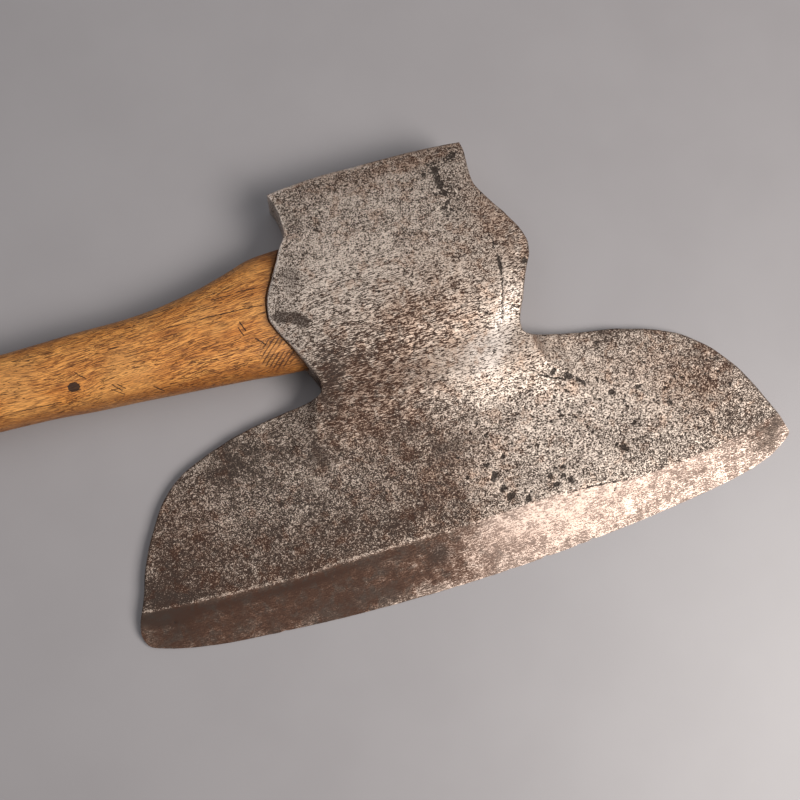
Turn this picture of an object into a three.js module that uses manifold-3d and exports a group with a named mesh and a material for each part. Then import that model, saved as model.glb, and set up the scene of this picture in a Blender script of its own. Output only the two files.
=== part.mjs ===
// A broad axe: a hewing axe with a wide one-sided blade, a square poll and an ear on each side of its eye.
// Units are millimetres. X runs along the haft and along the cutting edge, with the haft on the -X side.
// +Y points to the poll and -Y to the cutting edge. Z = 0 is the flat back, and the bevelled front faces +Z.
// The origin lies on the flat back, level with the tips of the ears.
import * as THREE from "three";
import { mergeVertices } from "three/addons/utils/BufferGeometryUtils.js";
import Module from "manifold-3d";

// Head, in plan: half widths along X, and places along Y.
const pollY = 57.2;
const pollCrown = 2;
const waistTop = 43;
const waistY = 38;
const earTipHalf = 62.3;
const neckY = -30;
const neckHalf = 48.8;
const shoulderY = -38.5;
const shoulderHalf = 56.5;
const edgeY = -140.4;
const edgeRadius = 1000;
const tipHalf = 161.4;

// Curves of the outline, as [distance from the middle line, Y]. The ears are alike, but the shoulders were
// forged by eye: the one on the toe's side, +X, sags near the neck, and the other is a little narrower.
const earTop = [48.3, 31.5];
const ear = [[55.6, 18.6], [60.4, 10], [earTipHalf, 0], [57.9, -10.6], [51.5, -23.5], [neckHalf, neckY]];
const edgeCorner = [[147, -129], [122, -133.2]];
const toeHalf = {
  pollHalf: 46.6,
  waistHalf: 46.2,
  shoulder: [[88, -44.5], [121, -54.8], [143.5, -75.2], [157, -101.5], [161, -115]],
  tip: [[162.6, -119.6], [158.8, -121.6]],
};
const heelHalf = {
  pollHalf: 46.2,
  waistHalf: 44.4,
  shoulder: [[88, -42.2], [121, -52.9], [142.3, -76], [152.3, -101], [157.9, -113]],
  tip: [[159.4, -119.5], [156.4, -124]],
};

// Head, in thickness.
const pollThickness = 26;
const cheekThickness = 32;
const neckThickness = 28;
const bladeRoot = 10.4;
const bladeRootY = -62;
const ridgeThickness = 7.4;
const ridgeY = -114;
const edgeThickness = 0.45;
const bevelSlope = 0.267;
const wingThickness = 5.4;

// Sections of the head: [Y, Z] down its front, then [distance from the middle line, Z] across it.
const socketFront = [
  [waistY, 30.6], [12, cheekThickness], [-14, 31.2], [-30, 27.2], [-46, 16.4], [bladeRootY, 9.2],
];
const pollChamfer = 1.6;
const neckFan = [[56, 15], [66, 9.6]];
const bladeCrown = [[46, 8.1], [80, 6.4], [115, 5.6]];

// The eye, an oval hole along X, and the two welded-on steel pieces.
const eyeY = 4;
const eyeHalfWidth = 29;
const eyeZ = 16;
const eyeHalfThickness = 10;
const eyeSquareness = 3.2;
const pollPlate = 5;
const steelThickness = 3.4;
const steelDepth = 60;
const scarfLength = 12;
const scarfEnd = 0.6;

// Haft: X, then middle and half width in Y, then middle and half thickness in Z.
const haftStations = [
  [-560, 2.0, 18.6, 19.0, 14.0],
  [-535, 3.0, 19.0, 19.0, 14.2],
  [-480, 6.4, 17.2, 18.4, 13.2],
  [-400, 8.2, 16.0, 17.6, 12.6],
  [-290, 7.8, 15.6, 16.8, 12.6],
  [-183, 4.9, 16.9, 16.2, 13.0],
  [-150, 3.6, 18.4, 16.0, 13.2],
  [-121, 2.2, 19.5, 16.0, 13.4],
  [-97, 2.3, 22.0, 16.0, 13.6],
  [-77, 3.6, 25.3, 16.0, 13.6],
  [-62, 4.7, 28.2, 16.0, 13.5],
  [-40, 4.5, 29.4, 16.0, 13.4],
];
const haftSquareness = 2.3;
const haftEndRadius = 5;
const tongueEndX = 47;
const nailHole = { x: -153.3, y: -4, topZ: 29.2, halfLength: 2.35, halfWidth: 1.85, depth: 7 };

// Wedges: the wooden one fills a kerf along the eye, and the iron one crosses it.
const kerfDepth = 46;
const kerfMouth = 3.6;
const kerfRoot = 1.2;
const kerfWedgeWidth = 53;
const ironWedgeDepth = 24;
const ironWedgeMouth = 3;
const ironWedgeRoot = 0.9;
const ironWedgeWidth = 17.4;
const wedgeProud = 1.2;

// Gaps between touching pieces, and how finely curves are cut.
const weldGap = 0.3;
const fitGap = 0.35;
const shoulderGap = 0.8;
const tongueOverlap = 0.6;
const outlineSteps = 5;
const edgeFacets = 420;
const eyeSides = 40;
const haftSides = 28;
const haftSteps = 44;
const beyond = 20;

const iron = { color: 0x8f8378, roughness: 0.55, metalness: 0.85 };
const steel = { color: 0xa39a90, roughness: 0.45, metalness: 0.9 };
const haftWood = { color: 0xbd7d3e, roughness: 0.6, metalness: 0 };
const wedgeWood = { color: 0x8a5a30, roughness: 0.7, metalness: 0 };

const wasm = await Module();
wasm.setup();

function solid(geometry) {
  const bare = geometry.clone();
  bare.deleteAttribute("normal");
  bare.deleteAttribute("uv");
  const merged = mergeVertices(bare);
  const vertProperties = merged.attributes.position.array;
  const triVerts = new Uint32Array(merged.index.array);
  return new wasm.Manifold(new wasm.Mesh({ numProp: 3, vertProperties, triVerts }));
}

function mesh(name, shape, finish) {
  const { vertProperties, triVerts } = shape.getMesh();
  const geometry = new THREE.BufferGeometry();
  geometry.setAttribute("position", new THREE.BufferAttribute(vertProperties, 3));
  geometry.setIndex(new THREE.BufferAttribute(triVerts, 1));
  geometry.computeVertexNormals();
  const made = new THREE.Mesh(geometry, new THREE.MeshStandardMaterial(finish));
  made.name = name;
  return made;
}

const AXIS_X = new THREE.Vector3(1, 0, 0);
const AXIS_Y = new THREE.Vector3(0, 1, 0);
const AXIS_Z = new THREE.Vector3(0, 0, 1);
const BACKWARDS = new THREE.Vector3(0, -1, 0);

// A shape drawn in two of the axes and pulled along the third, from one place to another.
function prism(shape, across, up, along, from, to) {
  const settings = { depth: to - from, bevelEnabled: false, curveSegments: outlineSteps };
  const geometry = new THREE.ExtrudeGeometry(shape, settings);
  geometry.translate(0, 0, from);
  geometry.applyMatrix4(new THREE.Matrix4().makeBasis(across, up, along));
  return solid(geometry);
}

function planPrism(shape, from, to) {
  return prism(shape, AXIS_X, AXIS_Y, AXIS_Z, from, to);
}

function sidePrism(shape, from, to) {
  return prism(shape, AXIS_Y, AXIS_Z, AXIS_X, from, to);
}

function polygon(...points) {
  return new THREE.Shape(points.map(vector));
}

// A bar along X whose oval section changes along its length: sectionAt(x) gives
// [middle Y, half width, middle Z, half thickness], and squareness 2 is an ellipse.
function ovalBar(from, to, sides, steps, squareness, sectionAt) {
  const bar = new THREE.CylinderGeometry(1, 1, to - from, sides, steps);
  bar.rotateZ(-Math.PI / 2);
  bar.translate((from + to) / 2, 0, 0);
  const place = bar.attributes.position;
  const power = 2 / squareness;
  const bulge = (part) => Math.sign(part) * Math.abs(part) ** power;
  for (let i = 0; i < place.count; i += 1) {
    const [middleY, halfWidth, middleZ, halfThickness] = sectionAt(place.getX(i));
    place.setY(i, middleY + halfWidth * bulge(place.getY(i)));
    place.setZ(i, middleZ + halfThickness * bulge(place.getZ(i)));
  }
  return solid(bar);
}

function vector([x, y]) {
  return new THREE.Vector2(x, y);
}

function curveThrough(path, points) {
  path.splineThru(points.map(vector));
}

// A closed shape from the path of its +X half and that of its other half, drawn as if it lay at +X too.
function twoHalves(half, otherHalf) {
  const points = half.getPoints(outlineSteps);
  const mirrored = otherHalf.getPoints(outlineSteps).map((point) => new THREE.Vector2(-point.x, point.y));
  return new THREE.Shape([...points, ...mirrored.reverse().filter((point) => point.x < 0)]);
}

// Half of the head's outline. The cutting edge is cut to its arc later.
function halfOutline({ pollHalf, waistHalf, shoulder, tip }) {
  const half = new THREE.Path();
  half.moveTo(0, pollY + pollCrown);
  half.quadraticCurveTo(pollHalf * 0.6, pollY + pollCrown, pollHalf, pollY);
  half.lineTo(waistHalf, waistTop);
  half.quadraticCurveTo(waistHalf, waistY - 1, ...earTop);
  curveThrough(half, ear);
  half.quadraticCurveTo(neckHalf - 1.2, shoulderY + 1.2, shoulderHalf, shoulderY);
  curveThrough(half, shoulder);
  half.quadraticCurveTo(...tip[0], ...tip[1]);
  half.quadraticCurveTo(...edgeCorner[0], ...edgeCorner[1]);
  half.lineTo(edgeCorner[1][0] - beyond, edgeY - beyond);
  return half;
}

// Everything inside the edge's arc and under the bevel, a cone about the arc's centre.
function bevelDisc() {
  const top = cheekThickness;
  const profile = [
    new THREE.Vector2(0, -1),
    new THREE.Vector2(edgeRadius, -1),
    new THREE.Vector2(edgeRadius, edgeThickness),
    new THREE.Vector2(edgeRadius - (top - edgeThickness) / bevelSlope, top),
    new THREE.Vector2(0, top),
  ];
  const disc = new THREE.LatheGeometry(profile, edgeFacets);
  disc.rotateX(Math.PI / 2);
  disc.translate(0, edgeY + edgeRadius, 0);
  return solid(disc);
}

// The blade: it thins from the neck to the bevel's ridge, and from its middle to its wings.
function blade(outline) {
  const low = edgeY - beyond;
  const ridgeFall = (bladeRoot - ridgeThickness) / (bladeRootY - ridgeY);
  const profile = polygon(
    [low, 0],
    [bladeRootY + beyond, 0],
    [bladeRootY + beyond, bladeRoot],
    [bladeRootY, bladeRoot],
    [low, ridgeThickness - (ridgeY - low) * ridgeFall],
  );
  const wing = tipHalf + beyond;
  const crownSide = new THREE.Path();
  crownSide.moveTo(0, bladeRoot + 0.2);
  curveThrough(crownSide, [...bladeCrown, [wing, wingThickness]]);
  crownSide.lineTo(wing, -1);
  const crown = twoHalves(crownSide, crownSide);
  const crownPrism = prism(crown, AXIS_X, AXIS_Z, BACKWARDS, -pollY, -low);
  return planPrism(outline, 0, cheekThickness)
    .intersect(sidePrism(profile, -wing, wing))
    .intersect(crownPrism)
    .intersect(bevelDisc());
}

// The poll, the cheeks and the ears, and the neck that slopes and fans out down into the blade.
function socket(outline) {
  const profile = new THREE.Shape();
  profile.moveTo(pollY + pollCrown, 0);
  profile.lineTo(pollY + pollCrown, pollThickness);
  profile.lineTo(pollY - pollChamfer, pollThickness + pollChamfer);
  curveThrough(profile, socketFront);
  profile.lineTo(bladeRootY - 12, 4);
  profile.lineTo(bladeRootY - 12, 0);
  const wide = earTipHalf + beyond;
  const high = cheekThickness + beyond;
  const far = pollY + beyond;
  const fanSide = new THREE.Path();
  fanSide.moveTo(neckHalf, high);
  fanSide.lineTo(neckHalf, neckThickness);
  curveThrough(fanSide, [...neckFan, [wide, wingThickness]]);
  fanSide.lineTo(wide, -1);
  const fan = twoHalves(fanSide, fanSide);
  const neck = prism(fan, AXIS_X, AXIS_Z, BACKWARDS, -neckY, -edgeY);
  const above = polygon([-wide, neckY - 1], [wide, neckY - 1], [wide, far], [-wide, far]);
  return planPrism(outline, 0, high)
    .intersect(sidePrism(profile, -wide, wide))
    .intersect(neck.add(planPrism(above, -1, high)));
}

// The zone of the steel that faces the flat back, grown by the weld's gap where it is cut away.
function steelZone(grow) {
  const back = edgeY + steelDepth + grow;
  const top = steelThickness + grow;
  const profile = polygon(
    [edgeY - beyond, -1],
    [back, -1],
    [back, scarfEnd + grow],
    [back - scarfLength, top],
    [edgeY - beyond, top],
  );
  return sidePrism(profile, -tipHalf - beyond, tipHalf + beyond);
}

function pollZone(grow) {
  const low = pollY - pollPlate - grow;
  const high = pollY + beyond;
  const profile = polygon([low, -1], [high, -1], [high, cheekThickness + 1], [low, cheekThickness + 1]);
  return sidePrism(profile, -earTipHalf, earTipHalf);
}

// The eye's hole, or with a gap the haft's tongue that fills it.
function eyeBar(from, to, gap) {
  const section = [eyeY, eyeHalfWidth - gap, eyeZ, eyeHalfThickness - gap];
  return ovalBar(from, to, eyeSides, 1, eyeSquareness, () => section);
}

// The haft outside the head: it follows its stations, and its far end is rounded.
function haftBar() {
  const places = haftStations.map(([x]) => x);
  const values = haftStations.flatMap((station) => station.slice(1));
  const spline = new THREE.CubicInterpolant(places, values, 4);
  const start = places[0];
  const sectionAt = (x) => {
    const [middleY, halfWidth, middleZ, halfThickness] = spline.evaluate(x);
    const inset = Math.max(0, 1 - (x - start) / (2 * haftEndRadius));
    const trim = haftEndRadius * (1 - Math.sqrt(1 - inset * inset));
    return [middleY, halfWidth - trim, middleZ, halfThickness - trim];
  };
  return ovalBar(start, places.at(-1), haftSides, haftSteps, haftSquareness, sectionAt);
}

// A wedge that thins from its mouth, at the tongue's end, towards its root, and stands proud of the mouth.
function wedge(mouth, root, depth, width, proud, thicknessAxis, widthAxis) {
  const end = tongueEndX + proud;
  const endThickness = mouth + ((mouth - root) * proud) / depth;
  const shape = polygon(
    [tongueEndX - depth, -root / 2],
    [end, -endThickness / 2],
    [end, endThickness / 2],
    [tongueEndX - depth, root / 2],
  );
  return prism(shape, AXIS_X, thicknessAxis, widthAxis, -width / 2, width / 2).translate(0, eyeY, eyeZ);
}

// Both wedges, or with a gap on each side the cuts that hold them.
function woodWedge(gap, width, proud) {
  const wider = 2 * gap;
  return wedge(kerfMouth + wider, kerfRoot + wider, kerfDepth + gap, width, proud, AXIS_Z, BACKWARDS);
}

function crossWedge(gap, width, proud) {
  const wider = 2 * gap;
  const depth = ironWedgeDepth + gap;
  return wedge(ironWedgeMouth + wider, ironWedgeRoot + wider, depth, width, proud, AXIS_Y, AXIS_Z);
}

function nailHoleCut() {
  const hole = new THREE.CylinderGeometry(1, 1, 2 * nailHole.depth, 16);
  hole.rotateX(Math.PI / 2);
  hole.scale(nailHole.halfLength, nailHole.halfWidth, 1);
  hole.translate(nailHole.x, nailHole.y, nailHole.topZ);
  return solid(hole);
}

const outline = twoHalves(halfOutline(toeHalf), halfOutline(heelHalf));
const head = blade(outline).add(socket(outline));
const eye = eyeBar(-earTipHalf - beyond, earTipHalf + beyond, 0);
const nearHead = planPrism(outline, -beyond, cheekThickness + beyond).translate(-shoulderGap, 0, 0);
const kerf = woodWedge(fitGap, 2 * eyeHalfWidth + 2, beyond);
const crossKerf = crossWedge(fitGap, 2 * eyeHalfThickness + 2, beyond);
const inHead = nearHead.translate(-tongueOverlap, 0, 0);
const tongue = eyeBar(-earTipHalf - beyond, tongueEndX, fitGap).intersect(inHead);

const ironBody = head.subtract(eye).subtract(steelZone(weldGap)).subtract(pollZone(weldGap));
const steelBit = head.intersect(steelZone(0));
const pollPiece = head.intersect(pollZone(0));
const haft = haftBar().subtract(nearHead).add(tongue).subtract(kerf).subtract(crossKerf);

const axe = new THREE.Group();
axe.name = "broad_axe";
axe.add(mesh("iron_body", ironBody, iron));
axe.add(mesh("steel_bit", steelBit, steel));
axe.add(mesh("poll_plate", pollPiece, steel));
axe.add(mesh("haft", haft.subtract(nailHoleCut()), haftWood));
axe.add(mesh("kerf_wedge", woodWedge(0, kerfWedgeWidth, wedgeProud).subtract(crossKerf), wedgeWood));
axe.add(mesh("iron_wedge", crossWedge(0, ironWedgeWidth, wedgeProud), iron));

export default axe;
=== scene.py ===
"""The looks of the broad axe: a forged head, burred and pitted, on an oiled haft.

Lengths are millimetres in the CAD's frame until a mesh is made, and MM turns them into metres.
X runs along the haft and the cutting edge, +Y points to the poll, and the flat back lies at z = 0.
"""

import bmesh
import bpy
import numpy as np
from mathutils import Matrix, Vector, kdtree, noise
from mathutils.geometry import delaunay_2d_cdt


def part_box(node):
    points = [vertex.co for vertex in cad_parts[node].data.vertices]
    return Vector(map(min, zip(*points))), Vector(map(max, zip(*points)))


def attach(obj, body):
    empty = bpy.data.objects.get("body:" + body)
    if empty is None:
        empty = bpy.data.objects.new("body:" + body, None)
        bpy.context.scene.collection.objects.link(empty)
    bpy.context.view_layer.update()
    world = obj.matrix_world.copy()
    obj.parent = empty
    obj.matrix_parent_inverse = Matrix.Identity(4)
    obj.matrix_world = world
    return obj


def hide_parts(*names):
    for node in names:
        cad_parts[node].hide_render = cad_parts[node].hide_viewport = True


MM = 0.001

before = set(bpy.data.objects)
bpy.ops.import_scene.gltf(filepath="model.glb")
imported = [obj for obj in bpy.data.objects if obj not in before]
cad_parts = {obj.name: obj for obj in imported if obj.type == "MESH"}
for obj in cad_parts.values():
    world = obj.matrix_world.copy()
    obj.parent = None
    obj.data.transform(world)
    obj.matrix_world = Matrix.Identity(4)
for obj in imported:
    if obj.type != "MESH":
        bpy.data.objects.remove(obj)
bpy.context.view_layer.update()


def box_mm(node):
    low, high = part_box(node)
    return np.array(low) / MM, np.array(high) / MM


STEEL_LOW, STEEL_HIGH = box_mm("steel_bit")
POLL_LOW, POLL_HIGH = box_mm("poll_plate")
_, HAFT_HIGH = box_mm("haft")

# The head in plan, with the CAD's boxes for its sizes.
POLL_HALF = POLL_HIGH[0]
POLL_CROWN = 2.0
POLL_Y = POLL_HIGH[1] - POLL_CROWN
POLL_SEAM = POLL_LOW[1]
EDGE_Y = STEEL_LOW[1]
STEEL_BACK = STEEL_HIGH[1]
EDGE_RADIUS = 1000.0
NECK_Y = -33.5
EYE_Y, EYE_HALF_Y = 4.0, 29.0
EYE_Z, EYE_HALF_Z = 16.0, 10.0
EYE_POWER = 3.2

# The head in thickness.
EDGE_THICK = 0.45
BEVEL_SLOPE = 0.267
STEEL_THICK = STEEL_HIGH[2]
WELD_DEPTH = (STEEL_THICK - EDGE_THICK) / BEVEL_SLOPE
SCARF = 12.0
RIDGE_RUN = 45
RIM_ROUND, POLL_ROUND = 1.1, 1.0
# How softly its faces run into each other.
CROWN_BLEND, FAN_BLEND, NECK_BLEND, RIDGE_BLEND = 1.2, 2.5, 7.0, 0.3

# How finely the pieces are meshed.
FINE = 0.72
COARSE = 3.2
HIDDEN = 6.0
ROW_STEP = 0.866
RING_DEPTHS = (0.15, 0.45, 0.9, 1.4)
WALL_ROWS = 10
WALL_SEED = 15.0
MERGED = 0.002


# ---- numbers ----

def smooth_step(low, high, x):
    t = np.clip((x - low) / (high - low), 0, 1)
    return t * t * (3 - 2 * t)


def soft_min(a, b, blend):
    h = np.clip(0.5 + 0.5 * (b - a) / blend, 0, 1)
    return b + (a - b) * h - blend * h * (1 - h)


def soft_max(a, b, blend):
    return -soft_min(-a, -b, blend)


def curve_through(points, steps=12):
    """Points on a smooth curve through the given ones."""
    p = np.array(points, float)
    p = np.vstack([2 * p[0] - p[1], p, 2 * p[-1] - p[-2]])
    t = np.linspace(0, 1, steps, endpoint=False)[:, None]
    spans = []
    for a, b, c, d in zip(p[:-3], p[1:-2], p[2:-1], p[3:]):
        cubic = -a + 3 * b - 3 * c + d
        square = 2 * a - 5 * b + 4 * c - d
        spans.append(0.5 * (2 * b + (c - a) * t + square * t**2 + cubic * t**3))
    return np.vstack([*spans, p[-2:-1]])


def graph_through(points):
    """A smooth function through points whose first numbers rise."""
    line = curve_through(points)
    return lambda x: np.interp(x, line[:, 0], line[:, 1])


def evenly(points, spacing):
    """The same line with its points about spacing apart."""
    p = np.asarray(points, float)
    along = np.concatenate([[0], np.cumsum(np.linalg.norm(np.diff(p, axis=0), axis=1))])
    count = max(2, int(round(along[-1] / spacing)) + 1)
    at = np.linspace(0, along[-1], count)
    return np.column_stack([np.interp(at, along, p[:, k]) for k in range(p.shape[1])])


def lumps(points, size, layers, seed):
    """Fractal noise, from about -1 to 1, in lumps of about size (one length, or one for each axis)."""
    scaled = np.asarray(points, float) / size + seed * 17.31
    return np.array([noise.fractal(p, 1.0, 2.0, layers) for p in scaled])


def lumps_at(x, y, size, layers, seed):
    """The same noise at places in plan."""
    return lumps(np.column_stack(np.broadcast_arrays(x, y, 0.0)), size, layers, seed)


def bell(x, middle, reach):
    """1 at the middle, and almost nothing at twice the reach from it."""
    return np.exp(-(((x - middle) / reach) ** 2))


def inside(loop, x, y):
    """Which points lie inside a closed line."""
    found = np.zeros(len(x), bool)
    for (ax, ay), (bx, by) in zip(loop, np.roll(loop, -1, axis=0)):
        if ay == by:
            continue
        crosses = ((ay > y) != (by > y)) & (x < (bx - ax) * (y - ay) / (by - ay) + ax)
        found ^= crosses
    return found


def tree_of(points):
    tree = kdtree.KDTree(len(points))
    for i, p in enumerate(points):
        tree.insert((p[0], p[1], 0), i)
    tree.balance()
    return tree


def distance_to(tree, x, y):
    return np.array([tree.find((a, b, 0))[2] for a, b in zip(x, y)])


def distance_to_line(line, x, y):
    """The distance to an open line of few points, and how far along it the nearest point is, from 0 to 1."""
    best = np.full(len(x), 1e9)
    share = np.zeros(len(x))
    spans = len(line) - 1
    for i in range(spans):
        (ax, ay), (bx, by) = line[i], line[i + 1]
        dx, dy = bx - ax, by - ay
        t = np.clip(((x - ax) * dx + (y - ay) * dy) / (dx * dx + dy * dy), 0, 1)
        d = np.hypot(x - ax - t * dx, y - ay - t * dy)
        share = np.where(d < best, (i + t) / spans, share)
        best = np.minimum(best, d)
    return best, share


# ---- the head's outline ----

# Half width against Y, down past the ear to the neck, then above the ear on the toe's side and on the heel's.
EAR = [
    (NECK_Y, 48.3), (-31, 48.7), (-28, 49.7), (-23.5, 51.6), (-17, 54.6), (-10.6, 57.8),
    (-5, 60.6), (0, 62.1), (4.5, 62.0), (10, 60.4), (18.6, 55.6), (25, 51.6), (31, 48.4),
]
TOE_SIDE = graph_through([*EAR, (34.5, 46.8), (39, 46.2), (46, 46.7), (POLL_SEAM, 47.1), (POLL_Y, 46.8)])
HEEL_SIDE = graph_through([*EAR, (34.5, 45.6), (39, 44.2), (46, 44.0), (POLL_SEAM, 45.0), (POLL_Y, 46.4)])
# From the neck round the shoulder to the tip, and on to where the edge's arc begins.
NECK_FILLET = [(48.3, NECK_Y), (48.9, -36.4), (51.4, -38.2), (56.5, -38.8)]
TOE_WING = [
    (64, -40.4), (74, -42.2), (88, -44.6), (104, -48.6), (121, -55.0), (133, -63.4), (143.5, -75.2),
    (151, -88.4), (156.4, -101.5), (159.2, -109), (161.0, -115), (161.9, -118.2), (161.3, -119.8),
    (158.8, -121.6),
]
HEEL_WING = [
    (64, -39.2), (76, -40.3), (88, -42.2), (104, -46.2), (121, -53.0), (132.5, -62.2), (142.0, -76),
    (148.4, -88.6), (152.6, -101), (156.2, -109), (157.9, -114), (158.5, -119), (156.4, -123.6),
]
EDGE_CORNER = [(151.5, -126.1), (143.5, -128.7), (133, -131.1)]
EDGE_START = 122.0
# Nicks in the cutting edge: place along X, half width and depth.
EDGE_NICKS = [(30, 1.6, 0.7), (47, 1.1, 0.45), (54, 1.4, 0.6), (12, 1.2, 0.35), (-96, 1.5, 0.3)]


def side_x(y, sign):
    """Where the outline of the poll, ears and neck lies. The poll's toe corner is burred further out."""
    burr = 0.5 * bell(y, 53, 3.5) if sign > 0 else 0.3 * bell(y, 56, 2)
    wobble = 0.35 * lumps_at(sign * 50.0, y, 7.0, 3, 1.0)
    half = TOE_SIDE(y) if sign > 0 else HEEL_SIDE(y)
    return sign * (half + burr + wobble)


def edge_y(x):
    """The cutting edge: an arc, a little uneven from wear, with a few nicks."""
    arc = EDGE_Y + EDGE_RADIUS - np.sqrt(EDGE_RADIUS**2 - x**2)
    wear = 0.22 * lumps_at(x, 0.0, 14.0, 3, 2.0)
    fine = 0.10 * lumps_at(x, 0.0, 2.4, 2, 3.0)
    nicks = sum(depth * bell(x, place, half) for place, half, depth in EDGE_NICKS)
    held = 1 - smooth_step(100, EDGE_START, np.abs(x))
    return arc + (np.abs(wear) + fine + nicks) * held


def split_evenly(stops, spacing):
    spans = []
    for a, b in zip(stops[:-1], stops[1:]):
        count = max(1, int(round(abs(b - a) / spacing)))
        spans.append(np.linspace(a, b, count, endpoint=False))
    return np.concatenate([*spans, [stops[-1]]])


def with_crossing(line, test):
    """The line with one point put in where test changes sign."""
    value = test(line[:, 0], line[:, 1])
    i = int(np.nonzero(np.diff(np.sign(value)) != 0)[0][0])
    t = value[i] / (value[i] - value[i + 1])
    point = line[i] + t * (line[i + 1] - line[i])
    return np.vstack([line[: i + 1], point, line[i + 1 :]]), i + 1


def depth_from_edge(x, y):
    return EDGE_RADIUS - np.hypot(x, y - EDGE_Y - EDGE_RADIUS)


def wing_line(sign):
    """One shoulder, from the neck round the tip, and the points where the steel and its weld begin."""
    corner = [*EDGE_CORNER, (EDGE_START, edge_y(np.array([EDGE_START]))[0])]
    wing = TOE_WING if sign > 0 else HEEL_WING
    line = evenly(curve_through([*NECK_FILLET, *wing, *corner]), FINE)
    wobble = 0.3 * lumps_at(line[:, 0] * sign, line[:, 1], 9.0, 3, 4.0)
    ends = smooth_step(0, 8, np.linalg.norm(line - line[0], axis=1))
    ends = ends * smooth_step(0, 8, np.linalg.norm(line - line[-1], axis=1))
    line[:, 1] += wobble * ends
    line, back = with_crossing(line, lambda x, y: y - STEEL_BACK)
    line[back, 1] = STEEL_BACK
    line, weld = with_crossing(line, lambda x, y: depth_from_edge(x, y) - WELD_DEPTH)
    line[:, 0] *= sign
    return line, back, weld


EYE_STOPS = [POLL_Y, POLL_SEAM, EYE_Y + EYE_HALF_Y, EYE_Y - EYE_HALF_Y, NECK_Y]
SIDE_Y = split_evenly(EYE_STOPS, FINE)
SEAM_ROW = int(np.argmin(np.abs(SIDE_Y - POLL_SEAM)))

toe_side = np.column_stack([side_x(SIDE_Y, 1), SIDE_Y])
heel_side = np.column_stack([side_x(SIDE_Y, -1), SIDE_Y])
toe_wing, toe_back, toe_weld = wing_line(1)
heel_wing, heel_back, heel_weld = wing_line(-1)
toe_wing[0] = toe_side[-1]
heel_wing[0] = heel_side[-1]


def edge_line():
    x = np.linspace(EDGE_START, -EDGE_START, int(2 * EDGE_START / FINE))
    line = np.column_stack([x, edge_y(x)])
    line[0], line[-1] = toe_wing[-1], heel_wing[-1]
    return line


def poll_line():
    """The poll's struck face, from its heel corner to its toe corner."""
    x = np.linspace(heel_side[0, 0], toe_side[0, 0], int(2 * POLL_HALF / FINE))
    t = np.clip(np.abs(x) / POLL_HALF, 0, 1)
    battered = 0.25 * np.abs(lumps_at(x, 0.0, 6.0, 3, 5.0)) * (1 - t)
    y = POLL_Y + POLL_CROWN * (1 - t**2.4) + 0.7 * bell(x, -24, 14) - battered
    line = np.column_stack([x, y])
    line[0], line[-1] = heel_side[0], toe_side[0]
    return line


edge = edge_line()
poll_top = poll_line()
outline = np.vstack([
    toe_side[:-1], toe_wing[:-1], edge[:-1], heel_wing[::-1][:-1], heel_side[::-1][:-1], poll_top[:-1],
])
outline_tree = tree_of(outline)


def weld_line():
    """Where the steel's weld comes out on the bevel, from the heel to the toe."""
    start, end = heel_wing[heel_weld], toe_wing[toe_weld]
    x = np.linspace(start[0], end[0], int((end[0] - start[0]) / FINE))
    radius = EDGE_RADIUS - WELD_DEPTH
    y = EDGE_Y + EDGE_RADIUS - np.sqrt(radius**2 - x**2)
    line = np.column_stack([x, y])
    line[0], line[-1] = start, end
    return line


weld = weld_line()

# ---- the head's thickness ----

FRONT = graph_through([
    (-75, 5.0), (-62, 9.2), (-46, 16.4), (-30, 27.2), (-14, 31.2), (12, 32.0), (38, 30.6), (50, 29.0),
    (60, 27.4),
])
FAN = graph_through([(0, 60), (40, 44), (48.8, 28), (56, 15), (66, 9.6), (84, 5.8), (200, 2)])
CROWN = graph_through([(0, 10.6), (46, 8.1), (80, 6.3), (115, 5.4), (200, 5.2)])
BLADE = graph_through([(-160, 4.7), (-140, 5.9), (-114, 7.4), (-62, 10.4), (-38, 11.4), (70, 11.4)])

# How far in from the edge the bevel's ridge lies, which the blade's crown sets: less towards the tips.
ridge_depth = graph_through([
    (-170, 19), (-120, 21.5), (-82, 23.3), (-50, 25.4), (0, 26.2), (46, 25.8), (80, 20.5), (115, 18),
    (170, 19),
])

# Pits big enough to be shapes: place, radius and depth.
PITS = [
    (17.5, -96.5, 1.7, 0.75), (15.0, -90.5, 1.0, 0.5), (24.5, -88.5, 0.9, 0.5), (19.5, -103.0, 1.4, 0.6),
    (21.5, -107.5, 1.7, 0.65), (29.5, -111.5, 1.7, 0.6), (42.8, -104.6, 1.1, 0.7), (44.8, -108.6, 1.2, 0.6),
    (48.8, -106.0, 1.1, 0.6), (52.0, -109.4, 1.5, 0.7), (46.2, -101.4, 0.9, 0.5), (50.3, -102.2, 1.1, 0.6),
    (72.0, -66.5, 1.3, 0.5), (84.0, -74.8, 1.5, 0.6), (81.0, -102.0, 1.8, 0.75), (78.4, -99.4, 1.0, 0.5),
    (58.5, -58.4, 1.3, 0.5), (66.0, -62.0, 1.8, 0.6), (70.0, -64.6, 1.1, 0.5), (62.5, -68.0, 1.0, 0.4),
    (97.0, -76.0, 1.1, 0.45), (104.0, -66.0, 0.9, 0.4), (110.0, -88.0, 1.2, 0.45), (90.0, -92.0, 1.0, 0.4),
    (31.2, 45.0, 1.2, 0.5), (30.8, 41.6, 1.1, 0.5), (31.3, 38.4, 1.2, 0.5), (31.8, 34.2, 1.4, 0.55),
    (27.4, 34.8, 1.0, 0.45), (32.2, 30.0, 1.1, 0.45), (29.0, 27.6, 1.0, 0.4), (32.6, 25.4, 1.1, 0.4),
    (-36.5, 45.5, 0.8, 0.3), (-26.0, 49.0, 0.8, 0.35), (-3.0, -30.0, 1.2, 0.3), (58.0, -6.5, 1.8, 0.4),
]
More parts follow.
